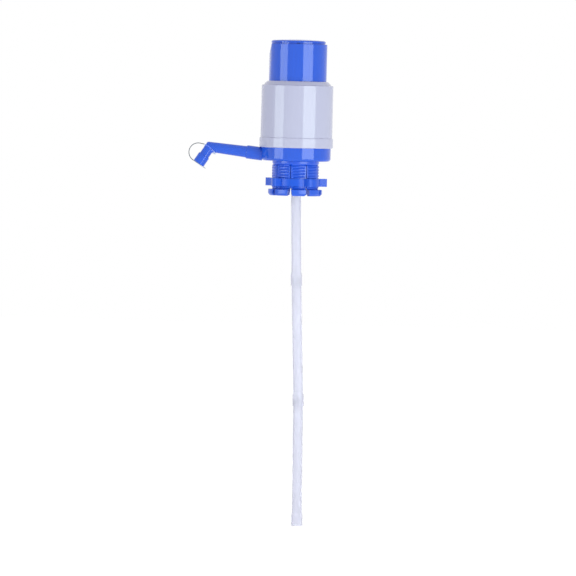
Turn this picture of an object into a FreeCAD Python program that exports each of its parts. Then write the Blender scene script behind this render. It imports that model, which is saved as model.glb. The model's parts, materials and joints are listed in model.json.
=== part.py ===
# Hand pump for a large water bottle, in millimetres.
# +Z is up along the pump, the spout points to -X, and the origin is the centre
# of the neck gasket's underside, where the bottle's rim seats.
import FreeCAD, Part
import math
import os
import Sketcher

Vector = FreeCAD.Vector

SIZES = {
    # neck collar: slotted fingers that close on a bottle neck of 55 mm
    "collar_bore": 28.2, "collar_length": 42.8, "lead_in": 1.0, "lead_in_height": 1.6,
    "flange_edge": 31.3, "flange_thick": 3.5, "flange_foot": 0.8, "flange_low": 0.6,
    "thread_root": 30.4, "thread_crest": 31.4, "thread_pitch": 3.95, "thread_start": 3.2,
    "lip_edge": 36.25, "lip_height": 8.4, "lip_taper": 2.2, "lip_taper_height": 2.6, "lip_blend": 1.2,
    "slot_width": 1.6, "slot_top": 0.7, "slot_turn": -102, "gap_width": 5.2, "gap_above_lip": 1.6,
    "tongue_inner": 28.6, "tongue_outer": 29.9, "tongue_height": 1.6, "tongue_play": 0.05,
    # clamp nut
    "nut_edge": 33.0, "nut_height": 10.6, "nut_base": 30.2, "thread_play": 0.25, "thread_slack": 0.9,
    "ear_reach": 43.1, "ear_width": 9.2, "ear_tip": 5.6, "ear_root": 1.2, "ear_turn": -60.5, "ear_round": 1.5,
    # gasket
    "gasket_inner": 20.0, "gasket_edge": 28.0,
    # base
    "base_edge": 46.65, "base_floor": 7.0, "base_rim": 21.2, "base_bore": 42.0, "corner_round": 4.0,
    "spigot_edge": 46.2, "spigot_bore": 43.6, "spigot_top": 33.0, "plate_seat": 20.0,
    "bead_height": 27.6, "bead_edge": 46.95, "bead_half": 0.35, "bead_slope": 1.5,
    "riser_edge": 9.0, "riser_end": 4.0, "hub_edge": 10.5, "hub_bore": 5.2, "hub_roof": 18.0,
    "tube_stop": 8.0, "vent_edge": 3.4, "vent_ring": 14.4,
    "duct_height": 13.4, "duct_edge": 6.5, "duct_bore": 4.0, "skirt_gap": 0.4,
    "duct_reach": 45.0, "boss_edge": 9.0, "boss_face": 66.5, "face_height": 14.33, "boss_length": 22.0,
    "boss_bore": 6.3, "boss_depth": 18.0, "boss_round": 1.2,
    # barrel
    "barrel_edge": 48.2, "barrel_neck": 48.0, "barrel_bore": 45.8, "skirt_edge": 49.4,
    "skirt_bore": 46.7, "skirt_top": 34.6, "seat_play": 0.2, "groove_edge": 47.15, "groove_half": 0.6,
    "barrel_rim": 104.9, "barrel_top": 110.3, "dome_foot": 45.6, "dome_waist": 43.2, "dome_knee": 108.0,
    "opening_bore": 39.2, "opening_lip": 1.2, "roof_low": 103.9, "roof_waist": 43.6, "roof_knee": 105.8,
    "roof_high": 107.6, "dome_round": 1.4, "edge_round": 0.8, "lip_round": 0.5,
    # press cap and lid
    "cap_edge": 38.7, "cap_bore": 36.3, "cap_shoulder": 160.1, "cap_round": 0.5, "deck_low": 157.6,
    "guide_edge": 45.4, "guide_bore": 43.2, "guide_low": 93.0, "guide_top": 103.5, "guide_thick": 2.2,
    "cap_thick_bore": 33.8, "cap_thick_low": 145.0, "cap_step": 3.0, "flat_low": 146.0, "flat_depth": 2.8,
    "seat_edge": 36.0, "seat_bore": 34.0, "seat_height": 1.4, "air_notch": 4.0, "notch_floor": 0.3,
    "lid_edge": 36.4, "lid_rim": 163.6, "lid_top": 166.5, "lid_wall": 1.8, "lid_bevel": 1.2,
    "lid_bevel_height": 1.1, "lid_round": 0.35, "plug_edge": 33.9, "plug_height": 1.1,
    # bellows, rings and spring
    "fold_edge": 32.5, "fold_root": 25.2, "fold_wall": 1.2, "bellows_flange": 42.0,
    "flange_sheet": 1.4, "neck_run": 4.6, "top_flange": 33.0,
    "clamp_bore": 38.0, "clamp_height": 4.6, "top_ring_bore": 27.6, "top_ring_height": 2.0,
    "spring_middle": 16.0, "spring_wire": 1.0, "spring_pitch": 11.05, "spring_play": 0.1,
    # valves
    "plate_edge": 43.5, "plate_thick": 3.0, "port_edge": 1.6, "port_ring": 5.4,
    "valve_offset": 24.0, "disc_edge": 8.2, "disc_thick": 1.2, "cage_edge": 10.4, "cage_bore": 8.7,
    "cage_height": 3.9, "ledge_bore": 6.6, "ledge_thick": 1.2, "ledge_notch": 3.0, "valve_gap": 0.05,
    # spout
    "arm_rise": 6.2, "arm_start": 7.75, "arm_end": 6.8, "arm_length": 49.1, "arm_bore": 4.6, "arm_foot": 4.0,
    "spigot_fit": 6.2, "spigot_length": 17.0, "spigot_root": 3.0, "overrun": 12.0,
    "seal_middle": 5.65, "seal_wire": 0.65, "seal_depth": 10.5, "seal_groove": 6.0, "seal_groove_wire": 1.0,
    "nozzle_lean": 33.4, "nozzle_length": 26.7, "nozzle_edge": 6.75, "mouth_edge": 8.0, "mouth_run": 13.1,
    "nozzle_bore": 4.8,
    # tethered dust cap
    "ring_long": 9.5, "ring_short": 7.4, "ring_wire": 0.8, "ring_lean": 40.1, "ring_tilt": 13.0,
    "ring_drop": 2.95, "ring_bearing": 88.0,
    "cap_disc": 8.2, "cap_disc_thick": 1.0, "cap_plug": 4.74, "cap_plug_length": 6.0, "cap_plug_wall": 0.9,
    "tab_reach": 11.4, "tab_width": 4.0, "tab_root": 2.0,
    "strap_loop": 12.4, "strap_wire": 0.55, "strap_start": 240, "strap_gap": 0.08, "strap_bite": 0.1,
    # dip tube: three push-fit lengths, each leaning a little from the pump's axis
    "tube_edge": 6.7, "tube_bore": 5.7, "tube_length": 171.5, "tube_overlap": 10.0,
    "socket_edge": 7.6, "socket_bore": 6.72, "socket_depth": 14.0, "socket_cone": 4.0,
    "lean_upper": 1.7, "lean_middle": 2.2, "lean_lower": 0.75,
}
THREADS_ON_COLLAR = 7
FINGERS = 9
EARS = 5
FOLDS = 14
PORTS = 6
NUT_RIDGES = (4, 5)     # the collar's grooves, counted from its top, that the nut's ridges run in
CLEAR = 0.5     # how far a cutting tool stands past the face it cuts
PAST = 4.0      # how far a cutting outline stands past a round wall

doc = FreeCAD.newDocument("hand_pump")
sheet = doc.addObject("Spreadsheet::Sheet", "Sizes")
for row, (alias, number) in enumerate(SIZES.items(), start=1):
    sheet.set("A%d" % row, alias)
    sheet.set("B%d" % row, str(number))
    sheet.setAlias("B%d" % row, alias)
doc.recompute()


class Size:
    """A length that carries its value and the expression that ties it to the sheet."""

    def __init__(self, value, text):
        self.value = value
        self.text = text

    def __add__(self, other):
        return joined(self, "+", other)

    def __radd__(self, other):
        return joined(other, "+", self)

    def __sub__(self, other):
        return joined(self, "-", other)

    def __rsub__(self, other):
        return joined(other, "-", self)

    def __mul__(self, other):
        return joined(self, "*", other)

    def __rmul__(self, other):
        return joined(other, "*", self)

    def __truediv__(self, other):
        return joined(self, "/", other)

    def __neg__(self):
        return Size(-self.value, "-(%s)" % self.text)


def as_size(thing):
    return thing if isinstance(thing, Size) else Size(float(thing), "%.10g" % thing)


def joined(left, sign, right):
    left = as_size(left)
    right = as_size(right)
    value = {"+": left.value + right.value, "-": left.value - right.value,
             "*": left.value * right.value,
             "/": left.value / right.value if right.value else 0.0}[sign]
    return Size(value, "(%s %s %s)" % (left.text, sign, right.text))


def size(alias):
    return Size(float(SIZES[alias]), "Sizes.%s" % alias)


def new_body(label):
    body = doc.addObject("PartDesign::Body", label)
    body.Label = label
    return body


def new_sketch(body, name, role, height=None, turn=None):
    """A sketch on one of the body's own planes, moved along its normal and turned in its plane."""
    sketch = body.newObject("Sketcher::SketchObject", name)
    plane = [f for f in body.Origin.OriginFeatures if f.Role == role][0]
    sketch.AttachmentSupport = (plane, [""])
    sketch.MapMode = "FlatFace"
    if turn is not None:
        turned = FreeCAD.Rotation(Vector(0, 0, 1), turn.value)
        sketch.AttachmentOffset = FreeCAD.Placement(Vector(0, 0, 0), turned)
        sketch.setExpression("AttachmentOffset.Rotation.Angle", turn.text)
    if height is not None:
        sketch.setExpression("AttachmentOffset.Base.z", height.text)
    return sketch


def outline(sketch, corners, dome=None):
    """A closed outline through the corners. The edge after corner number dome is an arc about the axis."""
    points = [(as_size(x), as_size(y)) for x, y in corners]
    count = len(points)
    for i in range(count):
        a = Vector(points[i][0].value, points[i][1].value, 0)
        b = Vector(points[(i + 1) % count][0].value, points[(i + 1) % count][1].value, 0)
        if i == dome:
            centre_y = (b.y ** 2 - a.y ** 2 - a.x ** 2) / (2 * (b.y - a.y))
            start = math.atan2(a.y - centre_y, a.x)
            circle = Part.Circle(Vector(0, centre_y, 0), Vector(0, 0, 1), b.y - centre_y)
            sketch.addGeometry(Part.ArcOfCircle(circle, start, math.pi / 2), False)
            sketch.addConstraint(Sketcher.Constraint("PointOnObject", i, 3, -2))
        else:
            sketch.addGeometry(Part.LineSegment(a, b), False)
    for i in range(count):
        j = (i + 1) % count
        sketch.addConstraint(Sketcher.Constraint("Coincident", i, 2, j, 1))
    for i, (x, y) in enumerate(points):
        for kind, length in (("DistanceX", x), ("DistanceY", y)):
            index = sketch.addConstraint(Sketcher.Constraint(kind, -1, 1, i, 1, length.value))
            if "Sizes" in length.text:
                sketch.setExpression("Constraints[%d]" % index, length.text)


def circle(sketch, x, y, radius):
    index = sketch.addGeometry(Part.Circle(Vector(as_size(x).value, as_size(y).value, 0),
                                           Vector(0, 0, 1), radius.value), False)
    for kind, length in (("DistanceX", as_size(x)), ("DistanceY", as_size(y))):
        number = sketch.addConstraint(Sketcher.Constraint(kind, -1, 1, index, 3, length.value))
        if "Sizes" in length.text:
            sketch.setExpression("Constraints[%d]" % number, length.text)
    number = sketch.addConstraint(Sketcher.Constraint("Radius", index, radius.value))
    sketch.setExpression("Constraints[%d]" % number, radius.text)


def revolve(body, corners, dome=None):
    sketch = new_sketch(body, body.Label + "_profile", "XZ_Plane")
    outline(sketch, corners, dome)
    turned = body.newObject("PartDesign::Revolution", body.Label + "_turned")
    turned.Profile = sketch
    turned.ReferenceAxis = (sketch, ["V_Axis"])
    turned.Angle = 360
    doc.recompute()
    return turned


def pocket(body, sketch, depth, name):
    cut = body.newObject("PartDesign::Pocket", name)
    cut.Profile = sketch
    cut.Length = depth.value
    cut.setExpression("Length", depth.text)
    return cut


def polar(body, feature, sketch, count, name):
    pattern = body.newObject("PartDesign::PolarPattern", name)
    pattern.Originals = [feature]
    pattern.Axis = (sketch, ["N_Axis"])
    pattern.Angle = 360
    pattern.Occurrences = count
    body.Tip = pattern
    doc.recompute()
    return pattern


def ring_edges(feature, radius, height):
    """Names of the round edges of that radius at that height."""
    names = []
    for number, edge in enumerate(feature.Shape.Edges, start=1):
        curve = None if edge.Degenerated else edge.Curve
        if isinstance(curve, Part.Circle) and abs(curve.Radius - radius.value) < 1e-3 \
                and abs(curve.Center.z - height.value) < 1e-3:
            names.append("Edge%d" % number)
    return names


def upright_edges(feature, beyond):
    """Names of the straight edges along Z that stand further out than that."""
    names = []
    for number, edge in enumerate(feature.Shape.Edges, start=1):
        ends = [vertex.Point for vertex in edge.Vertexes]
        if len(ends) == 2 and math.hypot(ends[0].x, ends[0].y) > beyond \
                and math.hypot(ends[0].x - ends[1].x, ends[0].y - ends[1].y) < 1e-3:
            names.append("Edge%d" % number)
    return names


def soften(body, feature, names, radius):
    """Rounds the named edges."""
    rounded = body.newObject("PartDesign::Fillet", body.Label + "_round%d" % len(body.Group))
    rounded.Base = (feature, names)
    bind(rounded, Radius=radius)
    body.Tip = rounded
    doc.recompute()
    return rounded


def fillet(body, feature, radius, rims):
    """Rounds the round edges given by their radius and height."""
    names = []
    for rim_radius, rim_height in rims:
        names += ring_edges(feature, rim_radius, rim_height)
    return soften(body, feature, names, radius)


def bind(thing, **sizes):
    for name, length in sizes.items():
        length = as_size(length)
        setattr(thing, name, length.value)
        if "Sizes" in length.text:
            thing.setExpression(name, length.text)
    return thing


def place(thing, x, y, z, towards=Vector(0, 0, 1)):
    """Puts the thing's origin at x, y, z with its own Z along towards."""
    spot = [as_size(v) for v in (x, y, z)]
    thing.Placement = FreeCAD.Placement(Vector(*[s.value for s in spot]),
                                        FreeCAD.Rotation(Vector(0, 0, 1), towards))
    for axis, length in zip("xyz", spot):
        if "Sizes" in length.text:
            thing.setExpression("Placement.Base." + axis, length.text)
    return thing


def cylinder(name, radius, height, x, y, z, towards=Vector(0, 0, 1)):
    rod = doc.addObject("Part::Cylinder", name)
    bind(rod, Radius=radius, Height=height)
    return place(rod, x, y, z, towards)


def block(name, length, width, height, corner, turn=FreeCAD.Rotation()):
    slab = doc.addObject("Part::Box", name)
    bind(slab, Length=length, Width=width, Height=height)
    slab.Placement = FreeCAD.Placement(corner, turn)
    return slab


def fuse(name, things):
    whole = doc.addObject("Part::MultiFuse", name)
    whole.Shapes = things
    whole.Refine = True
    return whole


def cut(name, thing, tools):
    left = doc.addObject("Part::Cut", name)
    left.Base = thing
    left.Tool = tools[0] if len(tools) == 1 else fuse(name + "_tools", tools)
    left.Refine = True
    return left


SUB_PARTS = []


def keep(thing, label):
    """Lists the thing as one of the object's own pieces, under its own label."""
    thing.Label = label
    SUB_PARTS.append(thing)
    doc.recompute()
    return thing


def along(angle):
    """Unit vector in the XZ plane, at that many degrees from -X towards +Z."""
    turn = math.radians(angle)
    return Vector(-math.cos(turn), 0, math.sin(turn))


ARM_WAY = along(SIZES["arm_rise"])
NOZZLE_WAY = along(SIZES["nozzle_lean"] - 90)
FACE = Vector(-SIZES["boss_face"], 0, SIZES["face_height"])
ELBOW = FACE + ARM_WAY * SIZES["arm_length"]
MITRE_WAY = (ARM_WAY + NOZZLE_WAY).normalize()
MOUTH = ELBOW + NOZZLE_WAY * SIZES["nozzle_length"]
ACROSS = NOZZLE_WAY.cross(Vector(0, 1, 0))     # lies across the mouth, away from the strap


def ridge(root, crest, middle, pitch):
    """Four corners of one thread ridge, from its lower foot to its upper foot."""
    foot = 0.28 * pitch
    top = 0.11 * pitch
    return [(root, middle - foot), (crest, middle - top), (crest, middle + top), (root, middle + foot)]


def collar_slots(body, name, width, top):
    """Slots between the fingers, cut from that height down through the lip."""
    plan = new_sketch(body, name + "_plan", "XY_Plane", top, size("slot_turn"))
    half = width / 2
    outline(plan, [(size("collar_bore") - PAST, -half), (size("lip_edge") + PAST, -half),
                   (size("lip_edge") + PAST, half), (size("collar_bore") - PAST, half)])
    first = pocket(body, plan, size("collar_length") + CLEAR, name + "_cut")
    polar(body, first, plan, FINGERS, name + "s")


def make_neck_collar():
    body = new_body("neck_collar")
    root = size("thread_root")
    pitch = size("thread_pitch")
    end = -size("collar_length")
    lip_top = end + size("lip_height")
    flange = size("flange_thick")
    blend = size("lip_blend")
    corners = [(size("collar_bore") + size("lead_in"), end), (size("lip_edge") - size("lip_taper"), end),
               (size("lip_edge"), end + size("lip_taper_height")), (size("lip_edge"), lip_top),
               (root + blend, lip_top), (root, lip_top + blend)]
    for turn in reversed(range(THREADS_ON_COLLAR)):
        middle = -(size("thread_start") + pitch * turn)
        corners += ridge(root, size("thread_crest"), middle, pitch)
    corners += [(root, -size("flange_foot")), (size("flange_edge"), size("flange_low")),
                (size("flange_edge"), flange),
                (size("tongue_outer"), flange), (size("tongue_outer"), flange + size("tongue_height")),
                (size("tongue_inner"), flange + size("tongue_height")), (size("tongue_inner"), flange),
                (size("collar_bore"), flange), (size("collar_bore"), end + size("lead_in_height"))]
    revolve(body, corners)
    collar_slots(body, "slot", size("slot_width"), -size("slot_top"))
    collar_slots(body, "gap", size("gap_width"), lip_top + size("gap_above_lip"))
    return keep(body, "neck_collar")


def make_clamp_nut():
    body = new_body("clamp_nut")
    play = size("thread_play")
    pitch = size("thread_pitch")
    wall = size("thread_crest") + play
    crest = size("thread_root") + play
    low = -size("nut_base")
    high = low + size("nut_height")
    corners = [(size("nut_edge"), low), (size("nut_edge"), high), (wall, high)]
    for turn in NUT_RIDGES:
        middle = -(size("thread_start") + pitch * (turn + 0.5))
        corners += reversed(ridge(wall, crest, middle, pitch - size("thread_slack")))
    corners += [(wall, low)]
    revolve(body, corners)
    ear = new_sketch(body, "ear_plan", "XY_Plane", low, size("ear_turn"))
    half = size("ear_width") / 2
    half_tip = size("ear_tip") / 2
    foot = size("nut_edge") - size("ear_root")
    outline(ear, [(foot, -half), (size("ear_reach"), -half_tip), (size("ear_reach"), half_tip), (foot, half)])
    pad = body.newObject("PartDesign::Pad", "ear")
    pad.Profile = ear
    pad.Length = SIZES["nut_height"]
    pad.setExpression("Length", "Sizes.nut_height")
    ears = polar(body, pad, ear, EARS, "ears")
    tips = upright_edges(ears, (size("ear_reach") - CLEAR).value)
    soften(body, ears, tips, size("ear_round"))
    return keep(body, "clamp_nut")


def make_neck_gasket():
    body = new_body("neck_gasket")
    inner = size("gasket_inner")
    edge = size("gasket_edge")
    top = size("flange_thick")
    revolve(body, [(inner, 0), (edge, 0), (edge, top), (inner, top)])
    return keep(body, "neck_gasket")


def make_base():
    body = new_body("base_turned")
    under = size("flange_thick")
    play = size("tongue_play")
    groove_top = under + size("tongue_height") + play
    bead = size("bead_height")
    turned = revolve(body, [
        (size("socket_bore"), -size("riser_end")), (size("riser_edge"), -size("riser_end")),
        (size("riser_edge"), under), (size("tongue_inner") - play, under),
        (size("tongue_inner") - play, groove_top), (size("tongue_outer") + play, groove_top),
        (size("tongue_outer") + play, under), (size("base_edge"), under),
        (size("base_edge"), size("base_rim")), (size("spigot_edge"), size("base_rim")),
        (size("spigot_edge"), bead - size("bead_slope")), (size("bead_edge"), bead - size("bead_half")),
        (size("bead_edge"), bead + size("bead_half")), (size("spigot_edge"), bead + size("bead_slope")),
        (size("spigot_edge"), size("spigot_top")), (size("spigot_bore"), size("spigot_top")),
        (size("spigot_bore"), size("plate_seat")), (size("base_bore"), size("plate_seat")),
        (size("base_bore"), size("base_floor")), (size("hub_edge"), size("base_floor")),
        (size("hub_edge"), size("plate_seat")), (0, size("plate_seat")), (0, size("hub_roof")),
        (size("hub_bore"), size("hub_roof")), (size("hub_bore"), size("tube_stop")),
        (size("socket_bore"), size("tube_stop"))])
    fillet(body, turned, size("corner_round"), [(size("base_edge"), under)])
    vent = new_sketch(body, "vent_plan", "XY_Plane", size("base_floor"))
    circle(vent, size("vent_ring") * math.cos(math.pi / 4), size("vent_ring") * math.sin(math.pi / 4),
           size("vent_edge"))
    first = pocket(body, vent, size("base_floor") + CLEAR, "vent_cut")
    polar(body, first, vent, 4, "vents")

    out = Vector(-1, 0, 0)
    height = size("duct_height")
    duct = cylinder("duct", size("duct_edge"), size("duct_reach"), -size("hub_bore"), 0, height, out)
    root = FACE - ARM_WAY * SIZES["boss_length"]
    boss = cylinder("boss", size("boss_edge"), size("boss_length"), root.x, root.y, root.z, ARM_WAY)
    face = doc.addObject("Part::Fillet", "boss_soft")
    face.Base = boss
    face.Edges = [(3, SIZES["boss_round"], SIZES["boss_round"])]    # the round edge at the boss's face
    boss_trim = new_body("boss_trim")
    clear_of_skirt = size("skirt_edge") + size("skirt_gap")
    revolve(boss_trim, [(0, size("base_rim")), (clear_of_skirt, size("base_rim")),
                        (clear_of_skirt, size("spigot_top")), (0, size("spigot_top"))])
    boss_outside = cut("boss_trimmed", face, [boss_trim])
    water_way = cylinder("water_way", size("duct_bore"),
                         size("boss_face") - size("boss_depth") + CLEAR * 2, 0, 0, height, out)
    inmost = FACE - ARM_WAY * SIZES["boss_depth"]
    boss_hole = cylinder("boss_hole", size("boss_bore"), size("boss_depth") + CLEAR,
                         inmost.x, inmost.y, inmost.z, ARM_WAY)
    solid = fuse("base_solid", [body, duct, boss_outside])
    return keep(cut("base_cut", solid, [water_way, boss_hole]), "base")


def ports(body, height, depth, x=0.0):
    """A ring of small air ports about a valve's centre."""
    plan = new_sketch(body, body.Label + "_ports_plan", "XY_Plane", height)
    for number in range(PORTS):
        angle = 2 * math.pi * number / PORTS
        circle(plan, x + size("port_ring") * math.cos(angle), size("port_ring") * math.sin(angle),
               size("port_edge"))
    pocket(body, plan, depth, body.Label + "_ports")
    doc.recompute()


def make_valve_plate():
    body = new_body("valve_plate")
    low = size("plate_seat")
    high = low + size("plate_thick")
    revolve(body, [(0, low), (size("plate_edge"), low), (size("plate_edge"), high), (0, high)])
    ports(body, high, size("plate_thick") + CLEAR, size("valve_offset"))
    return keep(body, "valve_plate")


def make_cage(label, seat, x):
    """A ring that hangs under a valve seat; its notched ledge holds the loose disc."""
    body = new_body(label + "_turned")
    low = seat - size("cage_height")
    ledge = low + size("ledge_thick")
    revolve(body, [(size("ledge_bore"), low), (size("cage_edge"), low), (size("cage_edge"), seat),
                   (size("cage_bore"), seat), (size("cage_bore"), ledge), (size("ledge_bore"), ledge)])
    notch = new_sketch(body, label + "_notch_plan", "XY_Plane", ledge)
    half = size("ledge_notch") / 2
    inner = size("ledge_bore") - PAST
    outer = size("cage_bore") - size("valve_gap")
    outline(notch, [(inner, -half), (outer, -half), (outer, half), (inner, half)])
    first = pocket(body, notch, size("ledge_thick") + CLEAR, label + "_notch")
    polar(body, first, notch, 4, label + "_notches")
    place(body, x, 0, 0)
    return keep(body, label)


def make_disc(label, seat, x):
    low = seat - size("cage_height") + size("ledge_thick") + size("valve_gap")
    disc = cylinder(label, size("disc_edge"), size("disc_thick"), x, 0, low)
    return keep(disc, label)


def make_pump_barrel():
    body = new_body("pump_barrel")
    rim = size("barrel_rim")
    bead = size("bead_height")
    waist = (size("dome_waist"), size("dome_knee"))
    mouth = size("opening_bore") + size("opening_lip")
    seat = size("spigot_top") + size("seat_play")
    turned = revolve(body, [
        (size("skirt_bore"), size("base_rim")), (size("skirt_edge"), size("base_rim")),
        (size("skirt_edge"), size("skirt_top")), (size("barrel_edge"), size("skirt_top")),
        (size("barrel_neck"), rim), (size("dome_foot"), rim), waist,
        (mouth, size("barrel_top")), (size("opening_bore"), size("barrel_top")),
        (size("opening_bore"), size("roof_high")), (size("roof_waist"), size("roof_knee")),
        (size("barrel_bore"), size("roof_low")), (size("barrel_bore"), seat),
        (size("skirt_bore"), seat), (size("skirt_bore"), bead + size("bead_slope")),
        (size("groove_edge"), bead + size("groove_half")), (size("groove_edge"), bead - size("groove_half")),
        (size("skirt_bore"), bead - size("bead_slope"))])
    soft = fillet(body, turned, size("dome_round"), [waist])
    soft = fillet(body, soft, size("edge_round"), [(size("barrel_neck"), rim),
                                                   (size("skirt_edge"), size("skirt_top"))])
    fillet(body, soft, size("lip_round"), [(size("skirt_edge"), size("base_rim")),
                                           (mouth, size("barrel_top"))])
    return keep(body, "pump_barrel")


def make_press_cap():
    body = new_body("press_cap")
    shoulder = size("cap_shoulder")
    seat_top = shoulder + size("seat_height")
    deck = size("deck_low")
    guide_roof = size("guide_top") - size("guide_thick")
    turned = revolve(body, [
        (size("guide_bore"), size("guide_low")), (size("guide_edge"), size("guide_low")),
        (size("guide_edge"), size("guide_top")), (size("cap_edge"), size("guide_top")),
        (size("cap_edge"), shoulder), (size("seat_edge"), shoulder), (size("seat_edge"), seat_top),
        (size("seat_bore"), seat_top), (size("seat_bore"), shoulder), (0, shoulder), (0, deck),
        (size("cap_thick_bore"), deck), (size("cap_thick_bore"), size("cap_thick_low")),
        (size("cap_bore"), size("cap_thick_low") - size("cap_step")), (size("cap_bore"), guide_roof),
        (size("guide_bore"), guide_roof)])
    fillet(body, turned, size("cap_round"), [(size("cap_edge"), shoulder)])
    flat = new_sketch(body, "finger_flat_plan", "XZ_Plane")
    side = -size("cap_edge")
    outline(flat, [(side - PAST, size("flat_low")), (side, size("flat_low")),
                   (side + size("flat_depth"), shoulder), (side - PAST, shoulder)])
    relief = pocket(body, flat, size("cap_edge") * 2, "finger_flat")
    relief.Midplane = True
    doc.recompute()
    ports(body, shoulder, shoulder - deck + CLEAR)
    notch = new_sketch(body, "air_notch_plan", "XY_Plane", seat_top)
    half = size("air_notch") / 2
    inner = size("seat_bore") - CLEAR
    outer = size("seat_edge") + CLEAR
    outline(notch, [(inner, -half), (outer, -half), (outer, half), (inner, half)])
    first = pocket(body, notch, size("seat_height") - size("notch_floor"), "air_notch")
    polar(body, first, notch, 4, "air_notches")
    return keep(body, "press_cap")


def make_cap_lid():
    body = new_body("cap_lid")
    seat = size("cap_shoulder") + size("seat_height")
    inner = size("plug_edge") - size("lid_wall")
    turned = revolve(body, [
        (size("plug_edge"), seat), (size("lid_edge"), seat), (size("lid_edge"), size("lid_rim")),
        (size("lid_edge") - size("lid_bevel"), size("lid_rim") + size("lid_bevel_height")),
        (0, size("lid_top")), (0, size("lid_top") - size("lid_wall")), (inner, seat),
        (inner, seat - size("plug_height")), (size("plug_edge"), seat - size("plug_height"))], dome=3)
    fillet(body, turned, size("lid_round"), [(size("lid_edge"), size("lid_rim"))])
    return keep(body, "cap_lid")


def make_bellows():
    body = new_body("bellows")
    bottom = size("plate_seat") + size("plate_thick")
    top = size("deck_low")
    sheet_thick = size("flange_sheet")
    root = size("fold_root")
    crest = size("fold_edge")
    wall = size("fold_wall")
    low = bottom + sheet_thick + size("neck_run")
    high = top - sheet_thick - size("neck_run")
    step = (high - low) / FOLDS
    outer = [(root + wall, low)]
    inner = [(root, low)]
    for fold in range(FOLDS):
        outer += [(crest, low + step * (fold + 0.5)), (root + wall, low + step * (fold + 1))]
        inner += [(crest - wall, low + step * (fold + 0.5)), (root, low + step * (fold + 1))]
    corners = [(root, bottom), (size("bellows_flange"), bottom),
               (size("bellows_flange"), bottom + sheet_thick), (root + wall, bottom + sheet_thick)] + outer
    corners += [(root + wall, top - sheet_thick), (size("top_flange"), top - sheet_thick),
                (size("top_flange"), top), (root, top)] + list(reversed(inner))
    revolve(body, corners)
    return keep(body, "bellows")


def make_ring(label, inner, edge, low, high):
    body = new_body(label)
    revolve(body, [(inner, low), (edge, low), (edge, high), (inner, high)])
    return keep(body, label)


def make_return_spring():
    low = size("plate_seat") + size("plate_thick") + size("spring_wire")
    high = size("deck_low") - size("spring_wire") - size("spring_play")
    coil = doc.addObject("Part::Helix", "spring_line")
    bind(coil, Radius=size("spring_middle"), Pitch=size("spring_pitch"), Height=high - low)
    place(coil, 0, 0, low)
    wire = doc.addObject("Part::Circle", "spring_section")
    bind(wire, Radius=size("spring_wire"))
    place(wire, size("spring_middle"), 0, low, Vector(0, 1, 0))
    doc.recompute()
    sweep = doc.addObject("Part::Sweep", "return_spring")
    sweep.Sections = [wire]
    sweep.Spine = (coil, ["Edge%d" % n for n in range(1, len(coil.Shape.Edges) + 1)])
    sweep.Solid = True
    sweep.Frenet = True
    return keep(sweep, "return_spring")


def half_space(name, point, towards, reach=40.0):
    """A large block whose one face lies on the plane through the point, and which fills the side towards."""
    turn = FreeCAD.Rotation(Vector(0, 0, 1), towards)
    corner = point - turn.multVec(Vector(reach / 2, reach / 2, 0))
    return block(name, reach, reach, reach, corner, turn)


def make_spout_arm():
    run = size("arm_length")
    foot = FACE - ARM_WAY * SIZES["arm_foot"]
    taper = (size("arm_start") - size("arm_end")) / run
    shell = doc.addObject("Part::Cone", "arm_shell")
    bind(shell, Radius1=size("arm_start") + taper * size("arm_foot"),
         Radius2=size("arm_end") - taper * size("overrun"), Height=run + size("arm_foot") + size("overrun"))
    place(shell, foot.x, foot.y, foot.z, ARM_WAY)
    tube = cut("arm_tube", shell, [half_space("inside_boss", FACE, -ARM_WAY),
                                   half_space("past_mitre", ELBOW, MITRE_WAY)])
    top = FACE + ARM_WAY * SIZES["spigot_root"]
    spigot = cylinder("arm_spigot", size("spigot_fit"), size("spigot_length") + size("spigot_root"),
                      top.x, top.y, top.z, -ARM_WAY)
    solid = fuse("arm_solid", [tube, spigot])
    bore = cylinder("arm_water_way", size("arm_bore"), run + size("overrun"), FACE.x, FACE.y, FACE.z, ARM_WAY)
    inner = FACE + ARM_WAY * SIZES["spigot_root"] * 2
    spigot_bore = cylinder("spigot_water_way", size("duct_bore"),
                           size("spigot_length") + size("spigot_root") * 2 + CLEAR,
                           inner.x, inner.y, inner.z, -ARM_WAY)
    groove = doc.addObject("Part::Torus", "seal_groove")
    bind(groove, Radius1=size("seal_groove"), Radius2=size("seal_groove_wire"))
    seat = seal_seat()
    place(groove, seat.x, seat.y, seat.z, ARM_WAY)
    return keep(cut("arm_cut", solid, [bore, spigot_bore, groove]), "spout_arm")


def seal_seat():
    return FACE - ARM_WAY * SIZES["seal_depth"]


def make_spout_seal():
    seal = doc.addObject("Part::Torus", "spout_seal")
    bind(seal, Radius1=size("seal_middle"), Radius2=size("seal_wire"))
    seat = seal_seat()
    place(seal, seat.x, seat.y, seat.z, ARM_WAY)
    return keep(seal, "spout_seal")


def make_spout_nozzle():
    over = SIZES["overrun"]
    top = ELBOW - NOZZLE_WAY * over
    lower = MOUTH - NOZZLE_WAY * SIZES["mouth_run"]
    pipe = cylinder("nozzle_pipe", size("nozzle_edge"), size("nozzle_length") + over - CLEAR,
                    top.x, top.y, top.z, NOZZLE_WAY)
    sleeve = cylinder("nozzle_sleeve", size("mouth_edge"), size("mouth_run"),
                      lower.x, lower.y, lower.z, NOZZLE_WAY)
    mitred = cut("nozzle_mitred", fuse("nozzle_solid", [pipe, sleeve]),
                 [half_space("before_mitre", ELBOW, -MITRE_WAY)])
    bore = cylinder("nozzle_water_way", size("nozzle_bore"), size("nozzle_length") + over * 2,
                    top.x, top.y, top.z, NOZZLE_WAY)
    return keep(cut("nozzle_cut", mitred, [bore]), "spout_nozzle")


def ring_centre():
    return ELBOW + along(-SIZES["ring_bearing"]) * SIZES["ring_drop"]


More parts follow.
